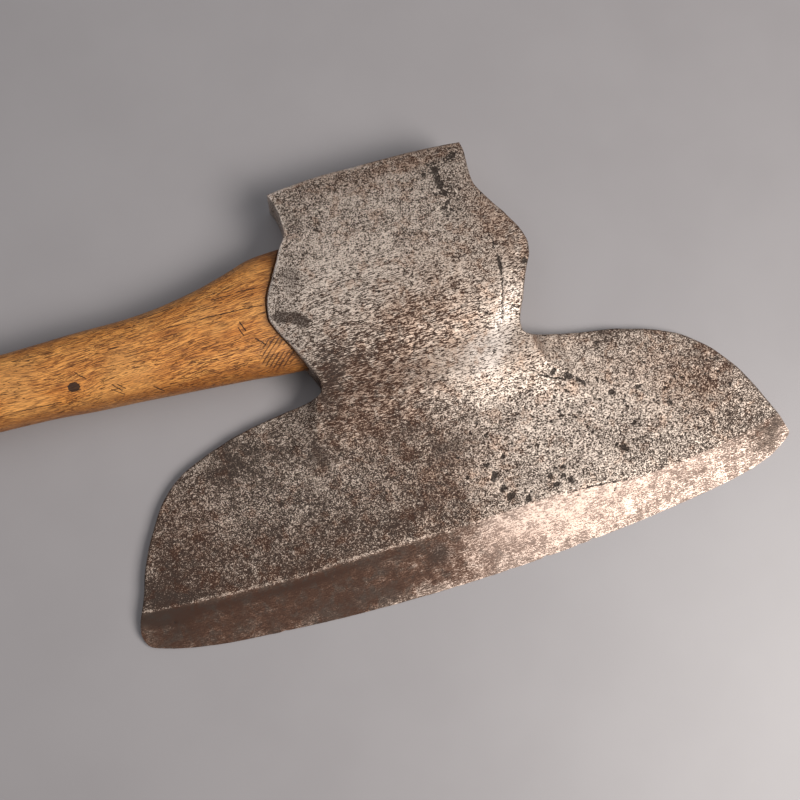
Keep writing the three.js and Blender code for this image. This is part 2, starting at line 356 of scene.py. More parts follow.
# Cracks and scratches: a line, its half width and its depth.
CRACKS = [
    ([(45.2, 10.5), (46.4, 6.5), (45.6, 2.5), (46.2, -1.0)], 0.35, 0.35),
    ([(46.4, -0.5), (46.0, -5.0), (45.2, -10.5)], 0.95, 0.9),
    ([(45.2, -10.5), (43.6, -17.0), (41.5, -23.0), (40.0, -29.0)], 0.35, 0.4),
    ([(51.5, -57.0), (58.0, -60.5), (64.5, -63.0)], 0.5, 0.4),
    ([(46.0, -114.0), (58.0, -114.6), (70.0, -115.8), (84.0, -117.6)], 0.55, 0.3),
    ([(-34.5, 52.0), (-33.4, 49.0), (-34.0, 47.0)], 0.3, 0.35),
    ([(-23.0, 55.5), (-22.4, 52.5)], 0.3, 0.35),
]
SMALL_PITS = 620
PITTED_HALF = 158
rng = np.random.default_rng(7)


def scattered_pits(count):
    """Small pits at random, thickest on the toe half of the blade and by the poll's toe corner."""
    made = []
    while len(made) < count:
        x, y = rng.uniform(-PITTED_HALF, PITTED_HALF), rng.uniform(EDGE_Y + 20, POLL_Y)
        toe_blade = bell(x, 75, 55) * bell(y, -80, 30)
        poll_toe = bell(x, 32, 14) * bell(y, 38, 20)
        likely = 0.12 + 0.75 * toe_blade + 0.8 * poll_toe
        if rng.uniform() < likely:
            made.append((x, y, rng.uniform(0.45, 1.05), rng.uniform(0.15, 0.38)))
    return made


def side_lobes(pits):
    """Smaller hollows that overlap each big pit, so that none of them is round."""
    lobes = []
    for x, y, radius, deep in pits:
        for _ in range(2):
            angle, out, share = rng.uniform(0, 2 * np.pi), rng.uniform(0.6, 1.0), rng.uniform(0.55, 0.9)
            place = x + out * radius * np.cos(angle), y + out * radius * np.sin(angle)
            lobes.append((*place, share * radius, share * deep))
    return lobes


ALL_PITS = PITS + side_lobes(PITS) + scattered_pits(SMALL_PITS)


def marks(x, y):
    """How deep the pits and cracks go at each point, and how dark they are, from 0 to 1."""
    wx = x + 0.55 * lumps_at(x, y, 2.2, 2, 6.0)
    wy = y + 0.55 * lumps_at(x, y, 2.2, 2, 7.0)
    depth = np.zeros(len(x))
    dark = np.zeros(len(x))
    for px, py, radius, deep in ALL_PITS:
        near = np.nonzero((np.abs(wx - px) < radius) & (np.abs(wy - py) < radius))[0]
        r = np.hypot(wx[near] - px, wy[near] - py) / radius
        cup = np.clip(1 - r**2, 0, 1)
        depth[near] = np.maximum(depth[near], deep * np.sqrt(cup))
        dark[near] = np.maximum(dark[near], np.clip(2.2 * cup, 0, 1) * min(1, deep / 0.5))
    for line, half, deep in CRACKS:
        d, share = distance_to_line(line, x + 0.25 * (wx - x), y + 0.25 * (wy - y))
        taper = np.sqrt(np.clip(4 * share * (1 - share), 0.05, 1))
        cut = np.clip(1 - d / (half * taper + 0.15), 0, 1)
        depth = np.maximum(depth, deep * cut)
        dark = np.maximum(dark, np.clip(2.2 * cut, 0, 1) * min(1, deep / 0.42))
    return depth, dark


def front_z(x, y, from_outline):
    """The height of the bevelled front, before pits."""
    across = np.abs(x)
    depth, ridge = depth_from_edge(x, y), ridge_depth(x)
    blade = soft_min(BLADE(y), CROWN(across), CROWN_BLEND)
    at_ridge = EDGE_THICK + BEVEL_SLOPE * ridge + 0.02 * (depth - ridge)
    blade = blade + (at_ridge - blade) * (1 - smooth_step(0, RIDGE_RUN, depth - ridge))
    fan = FAN(across) + 40 * smooth_step(NECK_Y - 1, NECK_Y + 5, y)
    ear_fall = 1.6 * smooth_step(44, 63, across) * smooth_step(-30, -20, y)
    socket = soft_min(FRONT(y), fan, FAN_BLEND) - ear_fall - 0.5 * (across / 46) ** 2
    z = soft_max(blade, socket, NECK_BLEND) - 0.9 * bell(blade, socket, 5.0)
    rolling = 0.28 * lumps_at(x, y, 24.0, 3, 8.0) + 0.12 * lumps_at(x, y, (9.0, 5.0, 5.0), 3, 9.0)
    z = z + rolling * smooth_step(14, 34, depth)
    bevel = EDGE_THICK + BEVEL_SLOPE * depth + 0.06 * lumps_at(x, y, (40.0, 6.0, 6.0), 2, 10.0)
    z = soft_min(z, np.maximum(bevel, EDGE_THICK), RIDGE_BLEND)
    heel_poll = smooth_step(20, 34, y) * smooth_step(-30, -42, x)
    rim = RIM_ROUND * smooth_step(WELD_DEPTH, 24, depth) * (1 - 0.5 * heel_poll)
    rim = rim + POLL_ROUND * smooth_step(48, 54, y) * (1 - heel_poll)
    t = np.clip(1 - from_outline / np.maximum(rim, 1e-3), 0, 1)
    return z - rim * (1 - np.sqrt(1 - t * t)) * (rim > 0.01)


def top_z(x, y):
    from_outline = distance_to(outline_tree, x, y)
    sunk, _ = marks(x, y)
    held = smooth_step(0.0, 0.8, from_outline)
    z = front_z(x, y, from_outline) - sunk * held
    return np.maximum(z, EDGE_THICK * 0.6)


def weld_plane(x, y):
    """The face where the iron sits on the steel: it runs out to nothing at the steel's back."""
    return STEEL_THICK * np.clip((STEEL_BACK - y) / SCARF, 0, 1)


def flat_back(x, y):
    return np.zeros(len(x))


def steel_top(x, y):
    return np.minimum(top_z(x, y), weld_plane(x, y))


def iron_bottom(x, y):
    return np.minimum(weld_plane(x, y), top_z(x, y))


# ---- meshes ----

def lattice(loop, spacing, keep=None, clear=0.6):
    """Points in a triangular pattern inside the loop, and no nearer to it than a share of their spacing."""
    low, high = loop.min(0), loop.max(0)
    rows = np.arange(low[1], high[1], spacing * ROW_STEP)
    columns = np.arange(low[0], high[0], spacing)
    x, y = np.meshgrid(columns, rows)
    x = x + (np.arange(len(rows)) % 2)[:, None] * spacing / 2
    x, y = x.ravel(), y.ravel()
    if keep is not None:
        chosen = keep(x, y)
        x, y = x[chosen], y[chosen]
    chosen = inside(loop, x, y)
    x, y = x[chosen], y[chosen]
    chosen = distance_to(tree_of(loop), x, y) > spacing * clear
    return np.column_stack([x[chosen], y[chosen]])


def right_hand(loop):
    """At each point, the direction across a closed line and to the right of its run."""
    along = np.roll(loop, -1, axis=0) - np.roll(loop, 1, axis=0)
    across = np.column_stack([along[:, 1], -along[:, 0]])
    return across / np.maximum(np.linalg.norm(across, axis=1), 1e-9)[:, None]


def rim_rings(loop):
    """Points a little inside the head's outline, which runs clockwise, for its rounded rim."""
    inwards = right_hand(outline)
    rings = []
    for depth in RING_DEPTHS:
        ring = outline + inwards * depth
        good = inside(outline, ring[:, 0], ring[:, 1]) & inside(loop, ring[:, 0], ring[:, 1])
        good &= distance_to(outline_tree, ring[:, 0], ring[:, 1]) > 0.9 * depth
        good &= depth_from_edge(ring[:, 0], ring[:, 1]) > 2.0
        rings.append(ring[good])
    return np.vstack(rings)


def sheet(loop, points, height, upwards, crease=None):
    """A triangulated face inside the loop, lifted to its height: its points and its triangles."""
    flat = [Vector(p) for p in np.vstack([loop, points])]
    count = len(loop)
    edges = []
    if crease is not None:
        start = len(flat)
        flat += [Vector(p) for p in crease]
        edges = [(start + i, start + i + 1) for i in range(len(crease) - 1)]
    made = delaunay_2d_cdt(flat, edges, [list(range(count))], 1, 1e-5)
    place = np.array([tuple(p) for p in made[0]])
    faces = []
    for face in made[2]:
        a, b, c = (place[i] for i in face)
        up = (b[0] - a[0]) * (c[1] - a[1]) - (b[1] - a[1]) * (c[0] - a[0]) > 0
        faces.append(tuple(face) if up == upwards else tuple(reversed(face)))
    z = height(place[:, 0], place[:, 1])
    return np.column_stack([place, z]), faces


def in_eye(y):
    """Half the eye's height at Y, and 0 outside it."""
    t = np.clip(np.abs((y - EYE_Y) / EYE_HALF_Y), 0, 1)
    return EYE_HALF_Z * (1 - t**EYE_POWER) ** (1 / EYE_POWER)


def wall(loop, bottom, top, seed, eye=False):
    """The side of a piece, all round its loop. Where the eye comes out, the wall leaves its oval open."""
    x, y = loop[:, 0], loop[:, 1]
    low, high = bottom(x, y), top(x, y)
    on_ear = (y < EYE_Y + EYE_HALF_Y + 0.01) & (y > EYE_Y - EYE_HALF_Y - 0.01) & eye & (np.abs(x) > 40)
    opening = np.where(on_ear, in_eye(y), 0.0)
    middle = np.where(on_ear, EYE_Z, (low + high) / 2)
    share = np.linspace(0, 1, WALL_ROWS // 2 + 1)
    lower = low[:, None] + (middle - opening - low)[:, None] * share
    upper = (middle + opening)[:, None] + (high - middle - opening)[:, None] * share
    normal = right_hand(loop)
    points, faces = [], []
    count = len(loop)
    for z in (lower, upper):
        rows = z.shape[1]
        start = len(points)
        for k in range(rows):
            here = np.column_stack([x, y, z[:, k]])
            free = np.sin(np.pi * k / (rows - 1)) * smooth_step(1.5, 6, high - low)
            push = 0.22 * free * lumps(here, 4.0, 3, seed)
            here[:, :2] += push[:, None] * normal
            points.extend(map(tuple, here))
        for k in range(rows - 1):
            for i in range(count):
                j = (i + 1) % count
                a, b = start + k * count + i, start + k * count + j
                faces.append((a, a + count, b + count, b))
    return np.array(points), faces


def eye_tunnel():
    """The inside of the eye, from the heel's outline to the toe's."""
    rows = [i for i, y in enumerate(SIDE_Y) if abs(y - EYE_Y) <= EYE_HALF_Y + 0.01]
    steps = 9
    points, faces = [], []
    for up in (1, -1):
        start = len(points)
        for i in rows:
            z = EYE_Z + up * in_eye(SIDE_Y[i : i + 1])[0]
            for x in np.linspace(heel_side[i, 0], toe_side[i, 0], steps):
                points.append((x, SIDE_Y[i], z))
        for r in range(len(rows) - 1):
            for k in range(steps - 1):
                a = start + r * steps + k
                quad = (a, a + 1, a + steps + 1, a + steps)
                faces.append(quad if up > 0 else tuple(reversed(quad)))
    return np.array(points), faces


def joined(parts):
    points, faces = [], []
    for p, f in parts:
        start = sum(len(q) for q in points)
        points.append(np.asarray(p, float))
        faces.extend(tuple(i + start for i in face) for face in f)
    return np.vstack(points), faces


def new_object(name, data):
    made = bpy.data.objects.new(name, data)
    bpy.context.scene.collection.objects.link(made)
    return made


def to_object(name, points, faces, sharp_degrees=38):
    """A mesh object in metres, its doubled points merged and its faces turned outwards."""
    mesh = bpy.data.meshes.new(name)
    mesh.from_pydata([tuple(p) for p in np.asarray(points) * MM], [], faces)
    tidy = bmesh.new()
    tidy.from_mesh(mesh)
    bmesh.ops.remove_doubles(tidy, verts=tidy.verts, dist=MERGED * MM)
    bmesh.ops.dissolve_degenerate(tidy, edges=tidy.edges, dist=1e-7)
    bmesh.ops.recalc_face_normals(tidy, faces=tidy.faces)
    tidy.to_mesh(mesh)
    tidy.free()
    mesh.polygons.foreach_set("use_smooth", np.ones(len(mesh.polygons), bool))
    mesh.set_sharp_from_angle(angle=np.radians(sharp_degrees))
    return new_object(name, mesh)


def points_of(piece):
    flat = np.zeros(len(piece.data.vertices) * 3)
    piece.data.vertices.foreach_get("co", flat)
    return flat.reshape(-1, 3) / MM


def add_layer(piece, name, values):
    layer = piece.data.attributes.new(name, "FLOAT", "POINT")
    layer.data.foreach_set("value", np.asarray(values, np.float32))


# Broad places: middle, reach along X and Y, strength, and the turn in degrees of those that are turned.
# First the lighter ones: places bared by wear, and painted glare on the toe side of the neck and ear.
RUBBED_AND_GLARE = [
    (-14, 16, 30, 20, 0.16), (-30, 4, 16, 16, 0.12), (46, -16, 12, 14, 0.26), (26, -46, 26, 16, 0.22, 14),
    (62, -82, 50, 20, 0.14), (16, 2, 22, 12, 0.10), (112, -78, 22, 18, 0.18), (42, -118, 38, 7, 0.20, 2),
    (96, -117, 24, 8, 0.08, 8), (60, -128, 60, 8, 0.15), (64, -48, 12, 8, 0.18), (-4, 46, 34, 8, 0.04),
    (28, -38, 20, 16, 0.46), (74, -104, 10, 6, 0.14), (30, -81, 9, 6, 0.16), (44, -24, 10, 10, 0.16),
]
# Then the ones that are duller than the rest.
DULL = [
    (12, -8, 14, 26, 0.08), (-34, -32, 22, 16, 0.28), (-8, -90, 20, 20, 0.26),
    (132, -84, 20, 20, 0.24, -40), (-96, -124, 80, 14, 0.42), (-56, -134, 40, 7, 0.34),
    (-146, -110, 14, 16, 0.40), (-80, -92, 54, 26, 0.38), (-90, -63, 26, 10, 0.18),
    (-30, -129, 16, 8, 0.12), (4, -64, 24, 8, 0.14), (150, -114, 14, 10, 0.12), (62, -98, 8, 6, 0.14),
    (100, -127, 30, 6, 0.10), (-88, -108, 16, 6, 0.12), (-136, -92, 20, 34, 0.32), (54, 10, 12, 16, 0.12),
    (0, 57, 60, 5, 0.20), (34, 44, 9, 14, 0.12), (-40, 42, 10, 14, 0.14), (-80, -52, 44, 12, 0.20, 10),
    (-24, -62, 36, 16, 0.20), (16, -80, 22, 10, 0.10), (84, -97, 14, 8, 0.22), (136, -104, 10, 6, 0.10),
    (90, -45, 14, 6, 0.36), (-46, -31, 8, 14, 0.34), (-6, 34, 24, 12, 0.04), (-28, -105, 24, 9, 0.30),
    (-102, -52, 16, 8, 0.38), (-16, -32, 10, 12, 0.14), (144, -112, 14, 8, 0.16), (124, -68, 18, 10, 0.17),
    (104, -52, 12, 6, 0.14), (14, -27, 10, 7, 0.16),
]
# The brown ones.
RUSTY = [
    (-18, -36, 28, 22, 0.8), (-36, -56, 26, 16, 0.6, 20), (124, -80, 28, 18, 0.8, -42),
    (60, -46, 22, 7, 0.5), (-100, -124, 90, 14, 0.9), (-6, -130, 30, 12, 0.9), (17, 54, 40, 6, 0.8),
    (52, 14, 13, 24, 0.8), (-4, -14, 12, 9, 0.7), (-130, -80, 26, 28, 0.55), (-4, -92, 26, 22, 0.65),
    (20, -14, 18, 24, 0.6), (100, -122, 50, 8, 0.3, 4), (44, -132, 60, 7, 0.5), (84, -66, 22, 10, 0.3),
    (-70, -100, 40, 12, 0.3),
]
# Where small ragged spots of black scale crowd together.
SPOTTED = [
    (26, 47, 13, 6, 0.30), (31, 37, 4.5, 13, 0.42), (39.5, 49.5, 5.0, 4.0, 0.78), (27, 26, 7, 6, 0.26),
    (30, 3, 9, 6, 0.26), (10, 1, 8, 5, 0.16), (12, -76, 10, 6, 0.20), (-48, 15, 7, 8, 0.18),
    (-20, 50, 16, 6, 0.16), (-10, 22, 44, 32, 0.12), (52, 12, 10, 14, 0.14), (78, -78, 55, 26, 0.17),
    (24, -50, 20, 16, 0.08), (30, -100, 24, 10, 0.10), (8, -96, 12, 12, 0.14), (128, -86, 14, 10, 0.24),
    (116, -96, 10, 7, 0.26), (96, -60, 14, 8, 0.14),
]
# Flat dark stains with a clear edge: one along a line on the heel-side ear, the others round.
EAR_PATCH = [(-58.0, 0.4), (-54.0, -1.0), (-50.0, -3.2), (-47.5, -4.8)]
STAINS = [
    (-18.5, -123.6, 5.0, 5.5, 0.95), (-58, -63, 6.5, 5.5, 0.9), (2, -77, 9, 5, 0.6),
    (-48, 15, 5.0, 7, 0.55),
]


def blobs(places, x, y, sharpness=1, sway=5.0):
    """How strongly the places cover each point. They sway, so that none is a plain oval."""
    found = np.zeros(len(x))
    wx = x + sway * lumps_at(x, y, 3.2 * sway, 3, 11.0)
    wy = y + sway * lumps_at(x, y, 3.2 * sway, 3, 12.0)
    for px, py, rx, ry, strength, *turn in places:
        a = np.radians(turn[0]) if turn else 0.0
        u = ((wx - px) * np.cos(a) + (wy - py) * np.sin(a)) / rx
        v = (-(wx - px) * np.sin(a) + (wy - py) * np.cos(a)) / ry
        found += strength * np.exp(-(u * u + v * v) ** sharpness)
    return found


def paint_metal(piece):
    """What the metal's material needs to know at each point."""
    p = points_of(piece)
    x, y = p[:, 0], p[:, 1]
    depth = depth_from_edge(x, y)
    front = distance_to(outline_tree, x, y)
    _, dark = marks(x, y)
    patch, _ = distance_to_line(EAR_PATCH, x, y)
    ragged = patch + 1.1 * lumps_at(x, y, 3.0, 2, 13.0)
    ear_stain = 0.98 * (1 - smooth_step(2.2, 3.1, ragged))
    stain = np.maximum(ear_stain, blobs(STAINS, x, y, sharpness=2, sway=2.0))
    past_ridge = depth - (ridge_depth(x) + 0.5 * lumps_at(x, y, 20.0, 2, 14.0))
    bevel = 1 - smooth_step(-0.7, 0.7, past_ridge)
    # Painted highlight along the bevel's ridge, and a painted shade band on the bevel just below it, both on
    # the heel half.
    ridge_glint = bell(past_ridge, 0.3, 0.75) * smooth_step(20, -50, x)
    shadow = bell(past_ridge, -3.6, 2.6) * smooth_step(10, -60, x)
    weld_mark = bell(depth, WELD_DEPTH + 0.2, 0.5) * smooth_step(-60, -90, x)
    ear_rim = (1 - smooth_step(0.7, 1.9, front)) * (x < 0) * smooth_step(-32, -24, y)
    lip = bell(front, 0.9, 0.9) * smooth_step(53, 57, y)
    # The wear layer also carries painted light: the ridge's painted highlight, the painted shade band below
    # it, and lighter bands along the heel-side ear and the poll's lip.
    wear_sheen_shade = 0.5 + blobs(RUBBED_AND_GLARE, x, y) - blobs(DULL, x, y)
    wear_sheen_shade += 0.40 * ridge_glint - 0.26 * shadow + 0.15 * weld_mark + 0.5 * ear_rim + 0.55 * lip
    # Painted shade: a dark band along the rounded edge of the outline, where it turns away; less of it on the
    # heel-side ear.
    rim = np.clip(1 - front / 1.5, 0, 1) * smooth_step(6, 16, depth) * np.clip(1 - ear_rim, 0, 1)
    neck = bell(y, -34, 30) * np.exp(-((x / 80) ** 4))
    cheek = bell(x, -20, 34) * bell(y, 4, 16)
    toe_ear = bell(x, 56, 9) * bell(y, 2, 26)
    add_layer(piece, "wear_sheen_shade", np.clip(wear_sheen_shade, -0.3, 1.3))
    add_layer(piece, "rusty", np.clip(blobs(RUSTY, x, y) + 0.6 * lip, 0, 1))
    add_layer(piece, "pit", np.clip(dark + blobs(SPOTTED, x, y), 0, 1))
    add_layer(piece, "stain", np.clip(stain, 0, 1))
    add_layer(piece, "bevel", bevel)
    add_layer(piece, "rim", rim)
    add_layer(piece, "drawn", np.clip(neck + 0.8 * cheek + toe_ear, 0, 1))


def off_the_rim(x, y):
    return distance_to(outline_tree, x, y) > RING_DEPTHS[-1] + FINE * 0.6


def front_face(loop):
    points = np.vstack([rim_rings(loop), lattice(loop, FINE, off_the_rim, clear=0.75)])
    return sheet(loop, points, top_z, True)


def hidden_face(loop, height):
    return sheet(loop, lattice(loop, COARSE), height, False)


def iron_piece():
    loop = np.vstack([
        toe_side[SEAM_ROW:-1], toe_wing[:toe_weld], weld[::-1][:-1],
        heel_wing[: heel_weld + 1][::-1][:-1], heel_side[SEAM_ROW:][::-1][:-1],
        seam_points()[:-1],
    ])
    top, bottom = front_face(loop), hidden_face(loop, iron_bottom)
    parts = [top, bottom, wall(loop, iron_bottom, top_z, WALL_SEED, eye=True), eye_tunnel()]
    return to_object("iron_body_forged", *joined(parts))


def seam_points():
    """The straight seam between the poll's plate and the iron, from the heel's side to the toe's."""
    ends = heel_side[SEAM_ROW], toe_side[SEAM_ROW]
    x = np.linspace(ends[0][0], ends[1][0], int(2 * POLL_HALF / FINE))
    return np.column_stack([x, np.full(len(x), POLL_SEAM)])


def poll_piece():
    loop = np.vstack([
        toe_side[: SEAM_ROW + 1][::-1][:-1], poll_top[::-1][:-1], heel_side[:SEAM_ROW], seam_points()[:-1],
    ])
    top, bottom = front_face(loop), hidden_face(loop, flat_back)
    return to_object("poll_plate_burred", *joined([top, bottom, wall(loop, flat_back, top_z, WALL_SEED)]))


def steel_piece():
    back = evenly([heel_wing[heel_back], toe_wing[toe_back]], COARSE)
    loop = np.vstack([
        toe_wing[toe_back:-1], edge[:-1], heel_wing[heel_back:][::-1][:-1], back[:-1],
    ])
    strip = lattice(loop, FINE, lambda x, y: depth_from_edge(x, y) < WELD_DEPTH - FINE * 0.6)
    inner = lattice(loop, HIDDEN, lambda x, y: depth_from_edge(x, y) > WELD_DEPTH + HIDDEN * 0.5, clear=0.5)
    top = sheet(loop, np.vstack([strip, inner]), steel_top, True, crease=weld[1:-1])
    sides = wall(loop, flat_back, steel_top, WALL_SEED)
    return to_object("steel_bit_ground", *joined([top, hidden_face(loop, flat_back), sides]))


# ---- node materials ----

class Number:
    """A number worked out inside a material, for which +, - and * make the nodes."""

    def __init__(self, nodes, socket):
        self.nodes, self.socket = nodes, socket

    def __add__(self, other):
        return self.nodes.math("ADD", self, other)

    def __sub__(self, other):
        return self.nodes.math("SUBTRACT", self, other)

    def __rsub__(self, other):
        return self.nodes.math("SUBTRACT", other, self)

    def __mul__(self, other):
        return self.nodes.math("MULTIPLY", self, other)

    __radd__, __rmul__ = __add__, __mul__


class Nodes:
    """A material's node tree, with one short call for each kind of node."""

    def __init__(self, name):
        self.material = bpy.data.materials.new(name)
        self.material.use_nodes = True
        self.tree = self.material.node_tree
        self.tree.nodes.clear()
        place = self.node("ShaderNodeTexCoord").outputs["Object"]
        self.place = self.scaled(place, (1 / MM, 1 / MM, 1 / MM))
        drift = self.scaled(self.noise(2.6, 2.0, 0.5, result="Color"), (0.9, 0.9, 0.9))
        self.wavy = self.sum(self.place, drift)

    def node(self, kind, **settings):
        made = self.tree.nodes.new(kind)
        for key, value in settings.items():
            setattr(made, key, value)
        return made

    def filled(self, kind, inputs, result, **settings):
        """A node with its inputs set or linked: the output of that name."""
        made = self.node(kind, **settings)
        for key, value in inputs.items():
            self.put(made.inputs[key], value)
        return made.outputs[result]

    def put(self, socket, value):
        if isinstance(value, Number):
            value = value.socket
        if isinstance(value, bpy.types.NodeSocket):
            self.tree.links.new(value, socket)
        else:
            socket.default_value = value

    def vector(self, operation, a, b, result="Vector"):
        return self.filled("ShaderNodeVectorMath", {0: a, 1: b}, result, operation=operation)

    def scaled(self, vector, scale):
        return self.vector("MULTIPLY", vector, scale)

    def sum(self, a, b):
        return self.vector("ADD", a, b)

    def noise(self, size, detail=3.0, rough=0.55, stretch=(1, 1, 1), warp=0.0, place=None, result="Fac"):
        """Noise from 0 to 1 whose lumps are about size millimetres across."""
        where = self.scaled(place or self.place, tuple(1 / (size * s) for s in stretch))
        inputs = {"Vector": where, "Scale": 1.0, "Detail": detail, "Roughness": rough, "Distortion": warp}
        made = self.filled("ShaderNodeTexNoise", inputs, result)
        return Number(self, made) if result == "Fac" else made

    def stroke(self, start, end, width):
        """A thin line on the surface from one [X, Y] place to another, from 0 to 1."""
        start, end = Vector((*start, 0)), Vector((*end, 0))
        along = end - start
        offset = self.sum(self.scaled(self.wavy, (1, 1, 0)), tuple(-start))
        reach = self.vector("DOT_PRODUCT", offset, tuple(along / along.length_squared), "Value")
        share = self.math("MAXIMUM", self.math("MINIMUM", reach, 1.0), 0.0)
        inputs = {0: tuple(along), "Scale": share}
        nearest = self.filled("ShaderNodeVectorMath", inputs, "Vector", operation="SCALE")
        gap = self.vector("DISTANCE", offset, nearest, "Value")
        return self.span(gap, width / 2, width, 1.0, 0.0)

    def layer(self, name):
        return Number(self, self.node("ShaderNodeAttribute", attribute_name=name).outputs["Fac"])

    def math(self, operation, a, b, clamp=False):
        made = self.filled("ShaderNodeMath", {0: a, 1: b}, "Value", operation=operation, use_clamp=clamp)
        return Number(self, made)

    def span(self, value, low, high, to_low=0.0, to_high=1.0):
        """The value moved smoothly from one range to another, and held inside it."""
        inputs = {"Value": value, "From Min": low, "From Max": high, "To Min": to_low, "To Max": to_high}
        made = self.filled("ShaderNodeMapRange", inputs, "Result", interpolation_type="SMOOTHSTEP")
        return Number(self, made)

    def mix(self, share, a, b):
        """A colour part of the way from one to another."""
        return self.filled("ShaderNodeMix", {"Factor": share, "A": a, "B": b}, "Result", data_type="RGBA")

    def coats(self, colour, *layers):
        """The colour with layers laid over it in turn, each of them a share and a colour."""
        for share, paint in layers:
            colour = self.mix(share, colour, paint)
        return colour

    def blend(self, share, a, b):
        """A number part of the way from one to another."""
        inputs = {"Factor": share, "A": a, "B": b}
        return Number(self, self.filled("ShaderNodeMix", inputs, "Result", data_type="FLOAT"))

    def bump(self, height, distance, strength):
        inputs = {"Height": height, "Distance": distance * MM, "Strength": strength}
        return self.filled("ShaderNodeBump", inputs, "Normal")

    def surface(self, colour, roughness, metallic, normal, **settings):
        inputs = {"Base Color": colour, "Roughness": roughness, "Metallic": metallic, "Normal": normal}
        inputs.update({key.replace("_", " "): value for key, value in settings.items()})
        shader = self.filled("ShaderNodeBsdfPrincipled", inputs, "BSDF")
        self.put(self.node("ShaderNodeOutputMaterial").inputs["Surface"], shader)
        return self.material


def tone(red, green, blue):
    """A colour given in the 0 to 255 steps of a screen, as the renderer wants it."""
    return (*[(v / 255) ** 2.2 for v in (red, green, blue)], 1.0)


DEEP_GREY = tone(62, 52, 46)
DEEP_BROWN = tone(66, 44, 33)
MIDDLE_GREY = tone(132, 114, 101)
MIDDLE_BROWN = tone(114, 85, 69)
LIGHT_GREY = tone(216, 200, 186)
# A painted glare colour, near white, for the lightest places.
GLARE_WHITE = tone(244, 232, 222)
LIGHT_BROWN = tone(182, 152, 130)
LIGHT_BEVEL = tone(216, 194, 180)
GROUND_BEVEL = tone(196, 171, 157)
PIT_BLACK = tone(50, 41, 36)
STAIN_GREY = tone(66, 53, 46)


def forged_metal(name, lift=0.0, smooth=0.0):
    """Old forged metal: light where handling has bared it, with painted glare on its lightest places and
    painted shade along its rim, brown where it is stained, and almost black in its pits.
    """
    n = Nodes(name)
    # The wear layer holds painted highlights and painted shade as well as wear; its highest values get the
    # painted glare.
    wear_sheen_shade, rusty, pit, stain = n.layer("wear_sheen_shade"), n.layer("rusty"), n.layer("pit"), n.layer("stain")
    bevel, rim, drawn = n.layer("bevel"), n.layer("rim"), n.layer("drawn")
    grain = n.noise(0.54, 2.0, 0.6, warp=0.5)
    clumps = n.noise(1.5, 3.0, 0.62, warp=0.6)
    slits = n.noise(0.41, 2.0, 0.6, stretch=(6.5, 1, 1), warp=0.4)
    patchy = n.noise(5.5, 4.0, 0.62, warp=0.5)
    cloud = n.noise(26.0, 3.0, 0.55)
    speckle = n.blend(0.30, grain, clumps)
    combed = n.blend(0.20, slits, clumps)
    relief = n.blend(0.9 * drawn, speckle, combed)
    ground = n.blend(0.62, n.blend(0.5, grain, slits), 0.5)
    relief = n.blend(bevel, relief, ground)
    gain = 1.8 + (0.5 * drawn + 2.2 * wear_sheen_shade)
    cover = wear_sheen_shade + lift + 1.15 * (patchy - 0.5) + 0.25 * (cloud - 0.5)
    level = (relief - 0.5) * gain + (0.40 * cover + 0.33)
    dash = n.noise(0.45, 1.5, 0.5, stretch=(2.3, 1, 1), warp=0.8)
    nicks = n.span(dash, 0.41, 0.34, 0.0, 0.16) - n.span(dash, 0.59, 0.63, 0.0, 0.46)
    level = level + nicks * (1.0 - 0.6 * bevel)
    middling = n.span(level, 0.34, 0.50)
    bare = n.span(level, 0.46, 0.64)
    brown = rusty * n.span(n.noise(4.5, 4.0, 0.65, warp=0.4), 0.30, 0.58)
    blotch = 0.65 * n.span(n.noise(7.0, 4.0, 0.62, warp=0.5), 0.52, 0.64)
    brown = n.math("ADD", brown + blotch, 0.25 * rusty, clamp=True)
    middle = n.mix(brown, MIDDLE_GREY, MIDDLE_BROWN)
    mottled = n.span(ground, 0.44, 0.56, 0.0, 0.38) * n.span(wear_sheen_shade, -0.30, 0.04, 0.1, 1.0)
    deep = n.mix(bevel * mottled, n.mix(brown, DEEP_GREY, DEEP_BROWN), middle)
    # Painted glare: where the wear layer is highest, the light colour goes near white.
    glare = n.span(wear_sheen_shade, 0.80, 1.15)
    light = n.coats(
        LIGHT_GREY, (glare, GLARE_WHITE), (0.7 * brown, LIGHT_BROWN), (0.6 * bevel, LIGHT_BEVEL),
    )
    spots = n.span(n.noise(1.25, 2.0, 0.5, warp=0.3), 0.62, 0.69) * n.span(patchy, 0.62, 0.40)
    spots = spots * (0.85 - 0.7 * bevel)
    uneven = -2.6 * (n.blend(0.6, grain, clumps) - 0.5)
    ragged = n.span(pit + uneven, 0.46, 0.66)
    colour = n.coats(
        deep, (middling, middle), (bare, light), (bevel * n.span(wear_sheen_shade, 0.28, 0.65, 0.0, 0.55), GROUND_BEVEL),
        # The rim coat is painted shade along the outline.
        (spots, deep), (0.3 * rim, DEEP_BROWN), (stain * n.span(grain, 0.66, 0.44, 0.6, 1.0), STAIN_GREY),
        (0.88 * ragged, PIT_BLACK),
    )
    hollow = n.math("MAXIMUM", n.math("MAXIMUM", spots, ragged), 0.6 * stain)
    bare = bare * (1.0 - hollow)
    roughness = n.span(bare, 0.0, 1.0, 0.76 - smooth, 0.50 - smooth)
    metallic = n.span(bare, 0.0, 1.0, 0.25, 0.62)
    height = n.span(level, 0.32, 0.66) - 0.8 * hollow
    normal = n.bump(height * (1.0 - 0.65 * bevel), 0.15, 0.9)
    return n.surface(colour, roughness, metallic, normal, Specular_IOR_Level=0.42)


# ---- the haft ----

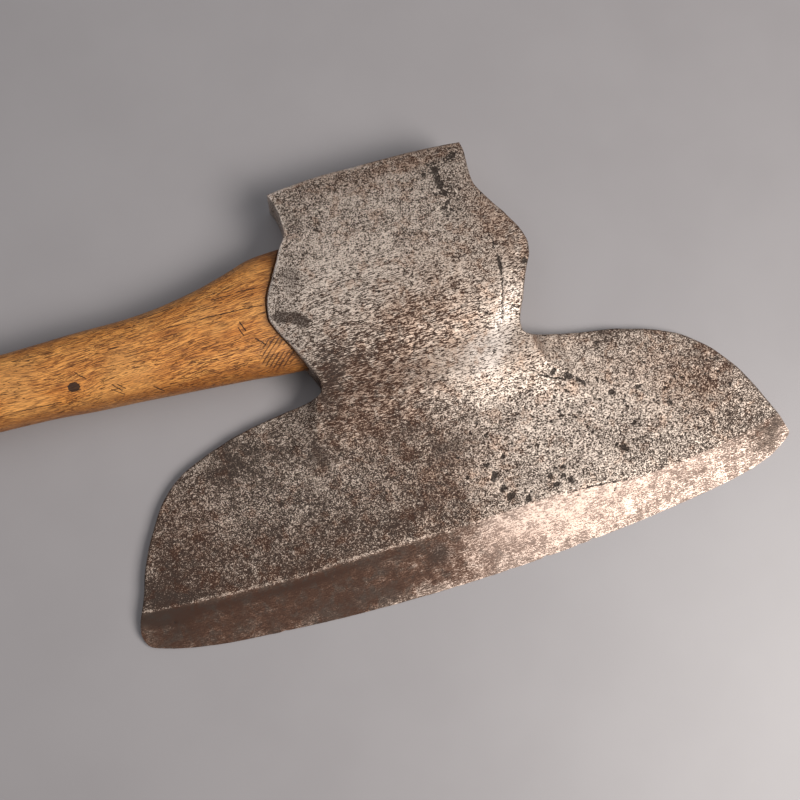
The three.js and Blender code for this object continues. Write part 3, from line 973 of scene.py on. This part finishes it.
# X, then middle and half width in Y, then middle and half thickness in Z.
HAFT = np.array([
    (-560, 2.0, 18.6, 19.0, 14.0), (-535, 3.0, 19.0, 19.0, 14.2), (-480, 6.4, 17.2, 18.4, 13.2),
    (-400, 8.2, 16.0, 17.6, 12.6), (-290, 7.8, 15.6, 16.8, 12.6), (-183, 4.9, 16.9, 16.2, 13.0),
    (-150, 3.6, 18.4, 16.0, 13.2), (-121, 2.2, 19.5, 16.0, 13.4), (-97, 2.3, 22.0, 16.0, 13.6),
    (-77, 3.6, 25.3, 16.0, 13.6), (-62, 4.7, 28.2, 16.0, 13.5), (-40, 4.5, 29.4, 16.0, 13.4),
])
HAFT_POWER = 2.3
HAFT_SIDES = 132
FAR_END = HAFT[0, 0]
END_ROUND, END_DOME = 9.0, 5
END_SHARES = (0.30, 0.60, 0.82, 0.93)
FINE_FROM, HEAD_FROM = -190.0, -66.0
FAR_STEP, NEAR_STEP = 2.2, 0.75
SHOULDER_GAP = 0.7
TONGUE_START, TONGUE_END, TONGUE_RINGS = -44, HAFT_HIGH[0], 6
ROOM = 0.35
KERF_DEPTH = 20.0
# The nail's hole: its middle, half its length and width, its turn in degrees, and its height.
NAIL_X, NAIL_Y, NAIL_Z = -153.3, -4.0, 30.5
NAIL_LONG, NAIL_SHORT, NAIL_TURN = 2.35, 1.85, -12
NAIL_HIGH = 12
NAIL_SIDES = 28
# The long crack beside the ear is deep enough to be a shape.
WOOD_CRACK = [(-106, 10.5), (-94, 10.0), (-80, 9.4), (-62.5, 8.2)]
# Knife cuts and checks: from, to, and half the width.
WOOD_CUTS = [
    ((-106, 10.3), (-90, 9.7), 0.20), ((-91, 9.9), (-76, 9.1), 0.34), ((-77, 9.3), (-63, 8.1), 0.26),
    ((-84, 17.2), (-74, 16.9), 0.26), ((-72, 17.3), (-64, 16.6), 0.28), ((-150.6, 2.6), (-146.6, -1.6), 0.26),
    ((-136.6, -7.2), (-133.4, -10.6), 0.24), ((-134.4, -7.6), (-131.6, -10.0), 0.22),
    ((-137.6, -8.8), (-132.8, -12.4), 0.20), ((-119.6, -13.0), (-115.8, -15.6), 0.22),
    ((-74.6, 3.6), (-73.2, -1.0), 0.36), ((-76.0, 1.2), (-74.8, -2.6), 0.26),
    ((-70.0, -5.4), (-66.6, -9.4), 0.34), ((-92.0, -9.0), (-88.5, -10.2), 0.26),
    ((-176, 15.6), (-158, 14.9), 0.16), ((-180, -6.6), (-160, -8.0), 0.16),
    ((-128, 3.0), (-112, 2.2), 0.14), ((-118, 18.6), (-98, 19.4), 0.16),
]
HAFT_LINE = curve_through(HAFT)


def haft_section(x):
    """The haft's middle and half width in Y, and its middle and half thickness in Z."""
    return [np.interp(x, HAFT_LINE[:, 0], HAFT_LINE[:, k]) for k in range(1, 5)]


def oval(angle, power):
    """Places on an oval from -1 to 1: with power 2 an ellipse, and squarer with more."""
    def bulge(part):
        return np.sign(part) * np.abs(part) ** (2 / power)

    return bulge(np.cos(angle)), bulge(np.sin(angle))


def haft_rings():
    """The haft's rings from its far end to the shoulder against the head, then the tongue through the eye."""
    angle = np.linspace(0, 2 * np.pi, HAFT_SIDES, endpoint=False)
    c, s = oval(angle, HAFT_POWER)

    def ring(x, inset=0.0, share=1.0):
        my, hy, mz, hz = haft_section(x)
        y, z = my + (hy - inset) * share * c, mz + (hz - inset) * share * s
        return np.column_stack([np.broadcast_to(x, HAFT_SIDES), y, z])

    rings = []
    for share in END_SHARES:
        drop = END_DOME * (1 - np.sqrt(1 - share**2 * 0.9))
        flat_end = ring(FAR_END, 1.0, share)
        flat_end[:, 0] += 1.2 * drop - 0.9
        rings.append(flat_end)
    far = split_evenly([FAR_END, FINE_FROM], FAR_STEP)[:-1]
    near = split_evenly([FINE_FROM, HEAD_FROM], NEAR_STEP)
    for x in np.concatenate([far, near]):
        from_end = max(0.0, 1 - (x - FAR_END) / END_ROUND)
        rings.append(ring(x, END_ROUND / 2 * (1 - np.sqrt(1 - from_end**2))))
    start = near[-1]
    reach = heel_limit(rings[-1][:, 1]) - start
    steps = int(np.ceil(reach.max() / NEAR_STEP))
    for k in range(1, steps + 1):
        rings.append(ring(start + reach * k / steps))
    ct, st = oval(angle, EYE_POWER)
    tongue = np.column_stack([EYE_Y + (EYE_HALF_Y - ROOM) * ct, EYE_Z + (EYE_HALF_Z - ROOM) * st])
    last = rings[-1]
    for share in (0.5, 1.0):
        step_in = last.copy()
        step_in[:, 0] += 0.15 * share
        step_in[:, 1:] += (tongue - last[:, 1:]) * share
        rings.append(step_in)
    for x in np.linspace(TONGUE_START, TONGUE_END, TONGUE_RINGS):
        rings.append(np.column_stack([np.full(HAFT_SIDES, x), tongue]))
    return rings


def heel_limit(y):
    """How far the wood may run towards the head at Y: up to the ear and the cheek's side."""
    order = np.argsort(heel_side[:, 1])
    return np.interp(y, heel_side[order, 1], heel_side[order, 0]) - SHOULDER_GAP


def crack_depth(x, y):
    d, share = distance_to_line(WOOD_CRACK, x, y)
    taper = np.sqrt(np.clip(4 * share * (1 - share), 0, 1))
    return 0.30 * taper * bell(d, 0, 0.8)


def tongue_end(ring):
    """The tongue's end, with the cross-shaped cut that its two wedges fill."""
    middle = np.array([EYE_Y, EYE_Z])
    ky, kz = box_mm("kerf_wedge")[1][1:] - middle + ROOM
    cy, cz = box_mm("iron_wedge")[1][1:] - middle + ROOM
    corners = [(ky, kz), (cy, kz), (cy, cz), (-cy, cz), (-cy, kz), (-ky, kz)]
    cross = np.array(corners + [(-y, -z) for y, z in corners]) + middle
    count = len(ring)
    flat = [Vector((p[1], p[2])) for p in ring] + [Vector(p) for p in cross]
    around = [(i, (i + 1) % count) for i in range(count)]
    hole = [(count + i, count + (i + 1) % len(cross)) for i in range(len(cross))]
    made = delaunay_2d_cdt(flat, around + hole, [], 1, 1e-5)
    place = np.array([tuple(p) for p in made[0]])
    faces = []
    for face in made[2]:
        y, z = place[list(face)].mean(0)
        if not inside(cross, np.array([y]), np.array([z]))[0]:
            faces.append(tuple(face))
    x = ring[0, 0]
    points = [(x, *p) for p in place]
    start, size = len(points), len(cross)
    deep = start + size
    points += [(x, *p) for p in cross] + [(x - KERF_DEPTH, *p) for p in cross]
    for i in range(size):
        j = (i + 1) % size
        faces.append((start + i, start + j, deep + j, deep + i))
    faces.append(tuple(range(deep, deep + size)))
    return np.array(points), faces


def haft_piece():
    rings = haft_rings()
    body = np.vstack(rings)
    count = HAFT_SIDES
    x, y, z = body.T
    outside = x < heel_limit(y) + SHOULDER_GAP - 0.2
    my, hy, mz, hz = haft_section(x)
    out = np.column_stack([np.zeros(len(x)), (y - my) / hy, (z - mz) / hz])
    out /= np.maximum(np.linalg.norm(out, axis=1), 1e-6)[:, None]
    sunk = crack_depth(x, y) * smooth_step(0.2, 0.6, out[:, 2])
    grain = 0.16 * lumps(body, (60.0, 5.0, 5.0), 3, 22.0) + 0.07 * lumps(body, (22.0, 1.6, 1.6), 2, 23.0)
    push = (grain - sunk) * outside * smooth_step(FAR_END, FAR_END + 3, x)
    body = body + out * push[:, None]
    faces = []
    for r in range(len(rings) - 1):
        for i in range(count):
            a, b = r * count + i, r * count + (i + 1) % count
            faces.append((a, b, b + count, a + count))
    middle = len(body)
    body = np.vstack([body, [body[:count].mean(0) - (0.2, 0, 0)]])
    faces += [(middle, (i + 1) % count, i) for i in range(count)]
    made = to_object("haft_oiled", *joined([(body, faces), tongue_end(rings[-1])]), sharp_degrees=50)
    return cut_nail_hole(made)


def cut_nail_hole(piece):
    """A blind hole where a nail once stood, cut through the top of the haft."""
    hole = bmesh.new()
    bmesh.ops.create_cone(hole, cap_ends=True, segments=NAIL_SIDES, radius1=0.86, radius2=1.0, depth=1.0)
    shape = bpy.data.meshes.new("nail_hole")
    hole.to_mesh(shape)
    hole.free()
    cutter = new_object("nail_hole", shape)
    turn = Matrix.Rotation(np.radians(NAIL_TURN), 4, "Z")
    size = Matrix.Diagonal((NAIL_LONG * MM, NAIL_SHORT * MM, NAIL_HIGH * MM, 1))
    cutter.matrix_world = Matrix.Translation(Vector((NAIL_X, NAIL_Y, NAIL_Z)) * MM) @ turn @ size
    cut = piece.modifiers.new("nail_hole", "BOOLEAN")
    cut.object = cutter
    cut.operation = "DIFFERENCE"
    cut.solver = "FAST"
    bpy.context.view_layer.update()
    solved = piece.evaluated_get(bpy.context.evaluated_depsgraph_get())
    mesh = bpy.data.meshes.new_from_object(solved)
    piece.modifiers.clear()
    piece.data = mesh
    bpy.data.objects.remove(cutter)
    return piece


def paint_wood(piece):
    """What the wood's material needs to know at each point."""
    x, y, z = points_of(piece).T
    my, hy, mz, hz = haft_section(x)
    across = (y - my) / hy
    upper = smooth_step(0.1, 0.6, (z - mz) / hz)
    nail = np.hypot((x - NAIL_X) / NAIL_LONG, (y - NAIL_Y) / NAIL_SHORT)
    dark = (1 - smooth_step(0.95, 1.3, nail)) * upper
    gap = heel_limit(y) - x
    shoulder = np.exp(-np.clip(gap, 0, None) / 9) * smooth_step(-6, 26, y)
    lower = smooth_step(-0.62, -0.95, across)
    upper_edge = smooth_step(0.7, 1.0, across)
    add_layer(piece, "dark", np.clip(dark, 0, 1))
    add_layer(piece, "upper", upper)
    add_layer(piece, "stain", np.clip(0.75 * lower + 0.45 * upper_edge + 0.6 * shoulder, 0, 1))
    hatch = bell(x, -63.5, 6.5) * bell(y, -15.0, 6.5) * upper
    add_layer(piece, "hatch", np.clip(1.5 * hatch, 0, 1))
    # Painted shade in the gap where the wood meets the head's heel side.
    add_layer(piece, "gap_shade", np.exp(-np.clip(gap, 0, None) / 1.3))


WOOD_LIGHT = tone(250, 174, 92)
WOOD_AMBER = tone(212, 134, 62)
WOOD_HONEY = tone(236, 172, 100)
WOOD_BROWN = tone(150, 88, 38)
WOOD_GRAIN = tone(112, 62, 27)
WOOD_STAIN = tone(104, 60, 30)
WOOD_PORE = tone(66, 38, 20)
WOOD_TICK = tone(52, 30, 18)
WOOD_RASP = tone(70, 40, 26)
# A painted shade colour for the gap beside the head.
WOOD_GAP_SHADE = tone(48, 28, 18)
WOOD_CUT = tone(34, 20, 14)


def oiled_wood(name):
    """Open-grained hardwood, golden where it is handled, with long dark pores."""
    n = Nodes(name)
    dark, stain, hatch, gap_shade = n.layer("dark"), n.layer("stain"), n.layer("hatch"), n.layer("gap_shade")
    sway = {"Y": 9.0 * n.noise(60.0, 2.0, 0.5), "Z": 4.0 * n.noise(40.0, 2.0, 0.5)}
    place = n.sum(n.place, n.filled("ShaderNodeCombineXYZ", sway, "Vector"))
    broad = n.noise(4.6, 4.0, 0.62, stretch=(9, 1, 1), place=place)
    fine = n.noise(0.9, 4.0, 0.66, stretch=(12, 1, 1), place=place)
    hair = n.noise(0.34, 2.0, 0.6, stretch=(14, 1, 1), place=place)
    where = n.noise(5.0, 3.0, 0.6, stretch=(5, 1, 1), place=place)
    cloud = n.noise(24.0, 3.0)
    pores = n.noise(0.40, 2.0, 0.6, stretch=(15, 1, 1), place=place)
    pore = n.span(pores, 0.57, 0.62) * n.span(where, 0.34, 0.58)
    ticks = n.noise(0.60, 2.0, 0.5, stretch=(5, 1, 1), place=place)
    tick = n.span(ticks, 0.64, 0.70) * n.span(where, 0.30, 0.5)
    bands = {"Vector": n.scaled(n.place, (-0.9, 1.1, 0.0)), "Scale": 0.26, "Distortion": 1.2}
    slant = n.filled("ShaderNodeTexWave", bands, "Fac", wave_type="BANDS", bands_direction="DIAGONAL")
    rasp = n.span(slant, 0.55, 0.9) * n.span(hatch * n.span(where, 0.2, 0.7), 0.15, 0.5)
    cuts = n.stroke(*WOOD_CUTS[0])
    for cut in WOOD_CUTS[1:]:
        cuts = n.math("MAXIMUM", cuts, n.stroke(*cut))
    ragged = n.span(dark + 0.8 * (fine - 0.5), 0.35, 0.6)
    cuts = n.math("MAXIMUM", cuts * n.layer("upper"), ragged)
    colour = n.coats(
        WOOD_LIGHT, (n.span(broad, 0.32, 0.68), WOOD_AMBER), (0.55 * n.span(fine, 0.42, 0.66), WOOD_BROWN),
        (0.85 * n.span(hair, 0.46, 0.58), WOOD_GRAIN), (0.35 * n.span(cloud, 0.45, 0.7), WOOD_HONEY),
        (0.70 * stain, WOOD_STAIN), (0.80 * pore, WOOD_PORE), (0.85 * tick, WOOD_TICK),
        # This coat is painted shade where the wood meets the head.
        (0.80 * rasp, WOOD_RASP), (0.75 * gap_shade, WOOD_GAP_SHADE), (0.92 * cuts, WOOD_CUT),
    )
    roughness = n.span(fine + 0.5 * pore, 0.3, 0.9, 0.44, 0.64)
    sunk = -1.0 * n.math("MAXIMUM", pore, tick) + -0.6 * fine - (0.9 * rasp + cuts)
    oil = {"Specular_IOR_Level": 0.4, "Coat_Weight": 0.10, "Coat_Roughness": 0.35}
    return n.surface(colour, roughness, 0.0, n.bump(sunk, 0.20, 0.9), **oil)


# ---- the wedges ----

WEDGE_TAPER = 0.35
WEDGE_SPACING = 1.4
WEDGE_ROUND = 0.25
NOTCH_DEPTH = 24.0


def block(name, low, high, notch=None):
    """A hand-cut wedge: a tapering block with rough faces, notched at its mouth where another crosses it."""
    loop = [(low[0], low[1]), (high[0], low[1]), (high[0], high[1]), (low[0], high[1])]
    if notch:
        middle = (low[1] + high[1]) / 2
        below, above, inner = middle - notch, middle + notch, high[0] - NOTCH_DEPTH
        loop[2:2] = [(high[0], below), (inner, below), (inner, above), (high[0], above)]
    ring = np.vstack([evenly([a, b], WEDGE_SPACING)[:-1] for a, b in zip(loop, loop[1:] + loop[:1])])
    ring_tree = tree_of(ring)
    middle_z, half_z = (low[2] + high[2]) / 2, (high[2] - low[2]) / 2

    def half_at(x):
        return half_z * (WEDGE_TAPER + (1 - WEDGE_TAPER) * (x - low[0]) / (high[0] - low[0]))

    def ragged(x, y, seed):
        held = smooth_step(0, 1, distance_to(ring_tree, x, y))
        return 0.12 * lumps_at(x, y, (5.0, 1.6, 1.6), 3, seed) * held

    def top(x, y):
        return middle_z + half_at(x) + ragged(x, y, 31.0)

    def bottom(x, y):
        return middle_z - half_at(x) + ragged(x, y, 32.0)

    points = lattice(ring, WEDGE_SPACING)
    faces = [sheet(ring, points, top, True), sheet(ring, points, bottom, False)]
    made = to_object(name, *joined([*faces, wall(ring, bottom, top, 33.0)]))
    edges = made.modifiers.new("worn_edges", "BEVEL")
    edges.width = WEDGE_ROUND * MM
    edges.segments = 2
    edges.limit_method = "ANGLE"
    edges.angle_limit = np.radians(55)
    return made


def wedge_pieces():
    low, high = box_mm("kerf_wedge")
    cross_low, cross_high = box_mm("iron_wedge")
    wooden = block("kerf_wedge_split", low, high, notch=(cross_high[1] - cross_low[1]) / 2 + ROOM)
    iron = block("iron_wedge_hammered", *turned(cross_low, cross_high))
    middle = (cross_low + cross_high) / 2
    x, y, z = points_of(iron).T
    upright = np.column_stack([x, middle[1] + z - middle[2], middle[2] + y - middle[1]])
    iron.data.vertices.foreach_set("co", (upright * MM).ravel())
    iron.data.flip_normals()
    return wooden, iron


def turned(low, high):
    """The box with its Y and Z sizes exchanged about its middle."""
    middle, half = (low + high) / 2, (high - low) / 2
    half = half[[0, 2, 1]]
    return middle - half, middle + half


def end_grain(name):
    """The dry end of a split wooden wedge."""
    n = Nodes(name)
    rings = n.noise(2.2, 3.0, 0.6, stretch=(8, 3, 1))
    specks = n.span(n.noise(0.5, 2.0, 0.6), 0.52, 0.68)
    colour = n.mix(n.span(rings, 0.3, 0.7), tone(150, 102, 62), tone(104, 66, 38))
    colour = n.mix(0.7 * specks, colour, tone(58, 36, 22))
    return n.surface(colour, n.span(rings, 0.2, 0.8, 0.6, 0.8), 0.0, n.bump(rings + specks, 0.25, 0.7))


def rusted_iron(name):
    """Iron under dark rust, bare where the hammer struck it."""
    n = Nodes(name)
    rust = n.noise(1.6, 4.0, 0.65)
    bare = n.span(n.noise(3.5, 3.0), 0.55, 0.68)
    colour = n.mix(n.span(rust, 0.35, 0.65), tone(78, 52, 40), tone(50, 40, 36))
    colour = n.mix(bare, colour, tone(140, 126, 114))
    roughness, metallic = n.span(bare, 0, 1, 0.78, 0.48), n.span(bare, 0, 1, 0.3, 0.85)
    return n.surface(colour, roughness, metallic, n.bump(rust, 0.3, 0.8))


def finish_piece(piece, node, slot, material):
    piece.data.materials.clear()
    piece.data.materials.append(material)
    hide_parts(node)
    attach(piece, "root")


iron_body = iron_piece()
poll_plate = poll_piece()
steel_bit = steel_piece()
for piece, node, slot, material in (
    (iron_body, "iron_body", "forged_iron", forged_metal("forged_iron_old")),
    (poll_plate, "poll_plate", "poll_steel", forged_metal("poll_steel_struck", lift=-0.03)),
    (steel_bit, "steel_bit", "edge_steel", forged_metal("edge_steel_ground", smooth=0.04)),
):
    paint_metal(piece)
    finish_piece(piece, node, slot, material)

haft = haft_piece()
paint_wood(haft)
finish_piece(haft, "haft", "haft_wood", oiled_wood("haft_wood_oiled"))

kerf_wedge, iron_wedge = wedge_pieces()
finish_piece(kerf_wedge, "kerf_wedge", "wedge_wood", end_grain("wedge_wood_dry"))
finish_piece(iron_wedge, "iron_wedge", "wedge_iron", rusted_iron("wedge_iron_rusty"))


# ---- floor, light and camera ----

FLOOR_HALF = 30.0
FLOOR_Z = -0.0002
FLOOR_DARK, FLOOR_LIGHT = (0.33, 0.31, 0.315, 1), (0.345, 0.325, 0.33, 1)
# Each light: name, place, aim, side, watts and colour.
LIGHTS = [
    ("key", (0.62, -0.58, 0.95), (0.40, -0.37, 0), 0.75, 18.4, (1.0, 0.965, 0.93)),
    ("fill", (-0.3, 0.5, 1.5), (0, 0, 0), 1.6, 4.6, (0.96, 0.97, 1.0)),
]
SKY_COLOUR, SKY_STRENGTH = (0.90, 0.92, 0.97, 1), 0.18
# The camera is nearly overhead, and turned so that the axe runs up to the right.
CAMERA_PLACE = (-67.3, -104.6, 523.9)
CAMERA_LOOK = (0.1015, 0.1058, -0.9892)
CAMERA_UP = (0.2887, 0.9484, 0.1311)


def floor():
    """A pale paper floor that runs far out behind the axe."""
    mesh = bpy.data.meshes.new("floor")
    corners = [(-1, -1), (1, -1), (1, 1), (-1, 1)]
    mesh.from_pydata([(x * FLOOR_HALF, y * FLOOR_HALF, FLOOR_Z) for x, y in corners], [], [(0, 1, 2, 3)])
    n = Nodes("floor_paper")
    colour = n.mix(n.span(n.noise(60.0, 3.0), 0.3, 0.7), FLOOR_DARK, FLOOR_LIGHT)
    tooth = n.bump(n.noise(0.9, 2.0), 0.03, 0.4)
    mesh.materials.append(n.surface(colour, 0.42, 0.0, tooth, Specular_IOR_Level=0.5))
    new_object("floor", mesh)


def area_light(name, place, aim, side, watts, colour):
    data = bpy.data.lights.new(name, "AREA")
    data.shape = "RECTANGLE"
    data.size, data.size_y = side, side
    data.energy = watts
    data.color = colour
    made = new_object(name, data)
    made.location = place
    made.rotation_euler = (Vector(aim) - Vector(place)).to_track_quat("-Z", "Y").to_euler()
    made.visible_camera = False


def lights():
    for light in LIGHTS:
        area_light(*light)
    world = bpy.data.worlds.new("studio")
    world.use_nodes = True
    background = world.node_tree.nodes["Background"]
    background.inputs["Color"].default_value = SKY_COLOUR
    background.inputs["Strength"].default_value = SKY_STRENGTH
    bpy.context.scene.world = world


def camera():
    look = Vector(CAMERA_LOOK)
    right = look.cross(Vector(CAMERA_UP)).normalized()
    up = right.cross(look).normalized()
    data = bpy.data.cameras.new("camera")
    data.sensor_width = 36
    data.lens = 50.0
    data.clip_start = 0.02
    made = new_object("camera", data)
    turn = Matrix((right, up, -look)).transposed().to_4x4()
    made.matrix_world = Matrix.Translation(Vector(CAMERA_PLACE) * MM) @ turn
    bpy.context.scene.camera = made


floor()
lights()
camera()
bpy.context.scene.view_settings.view_transform = "Standard"

bpy.context.view_layer.update()
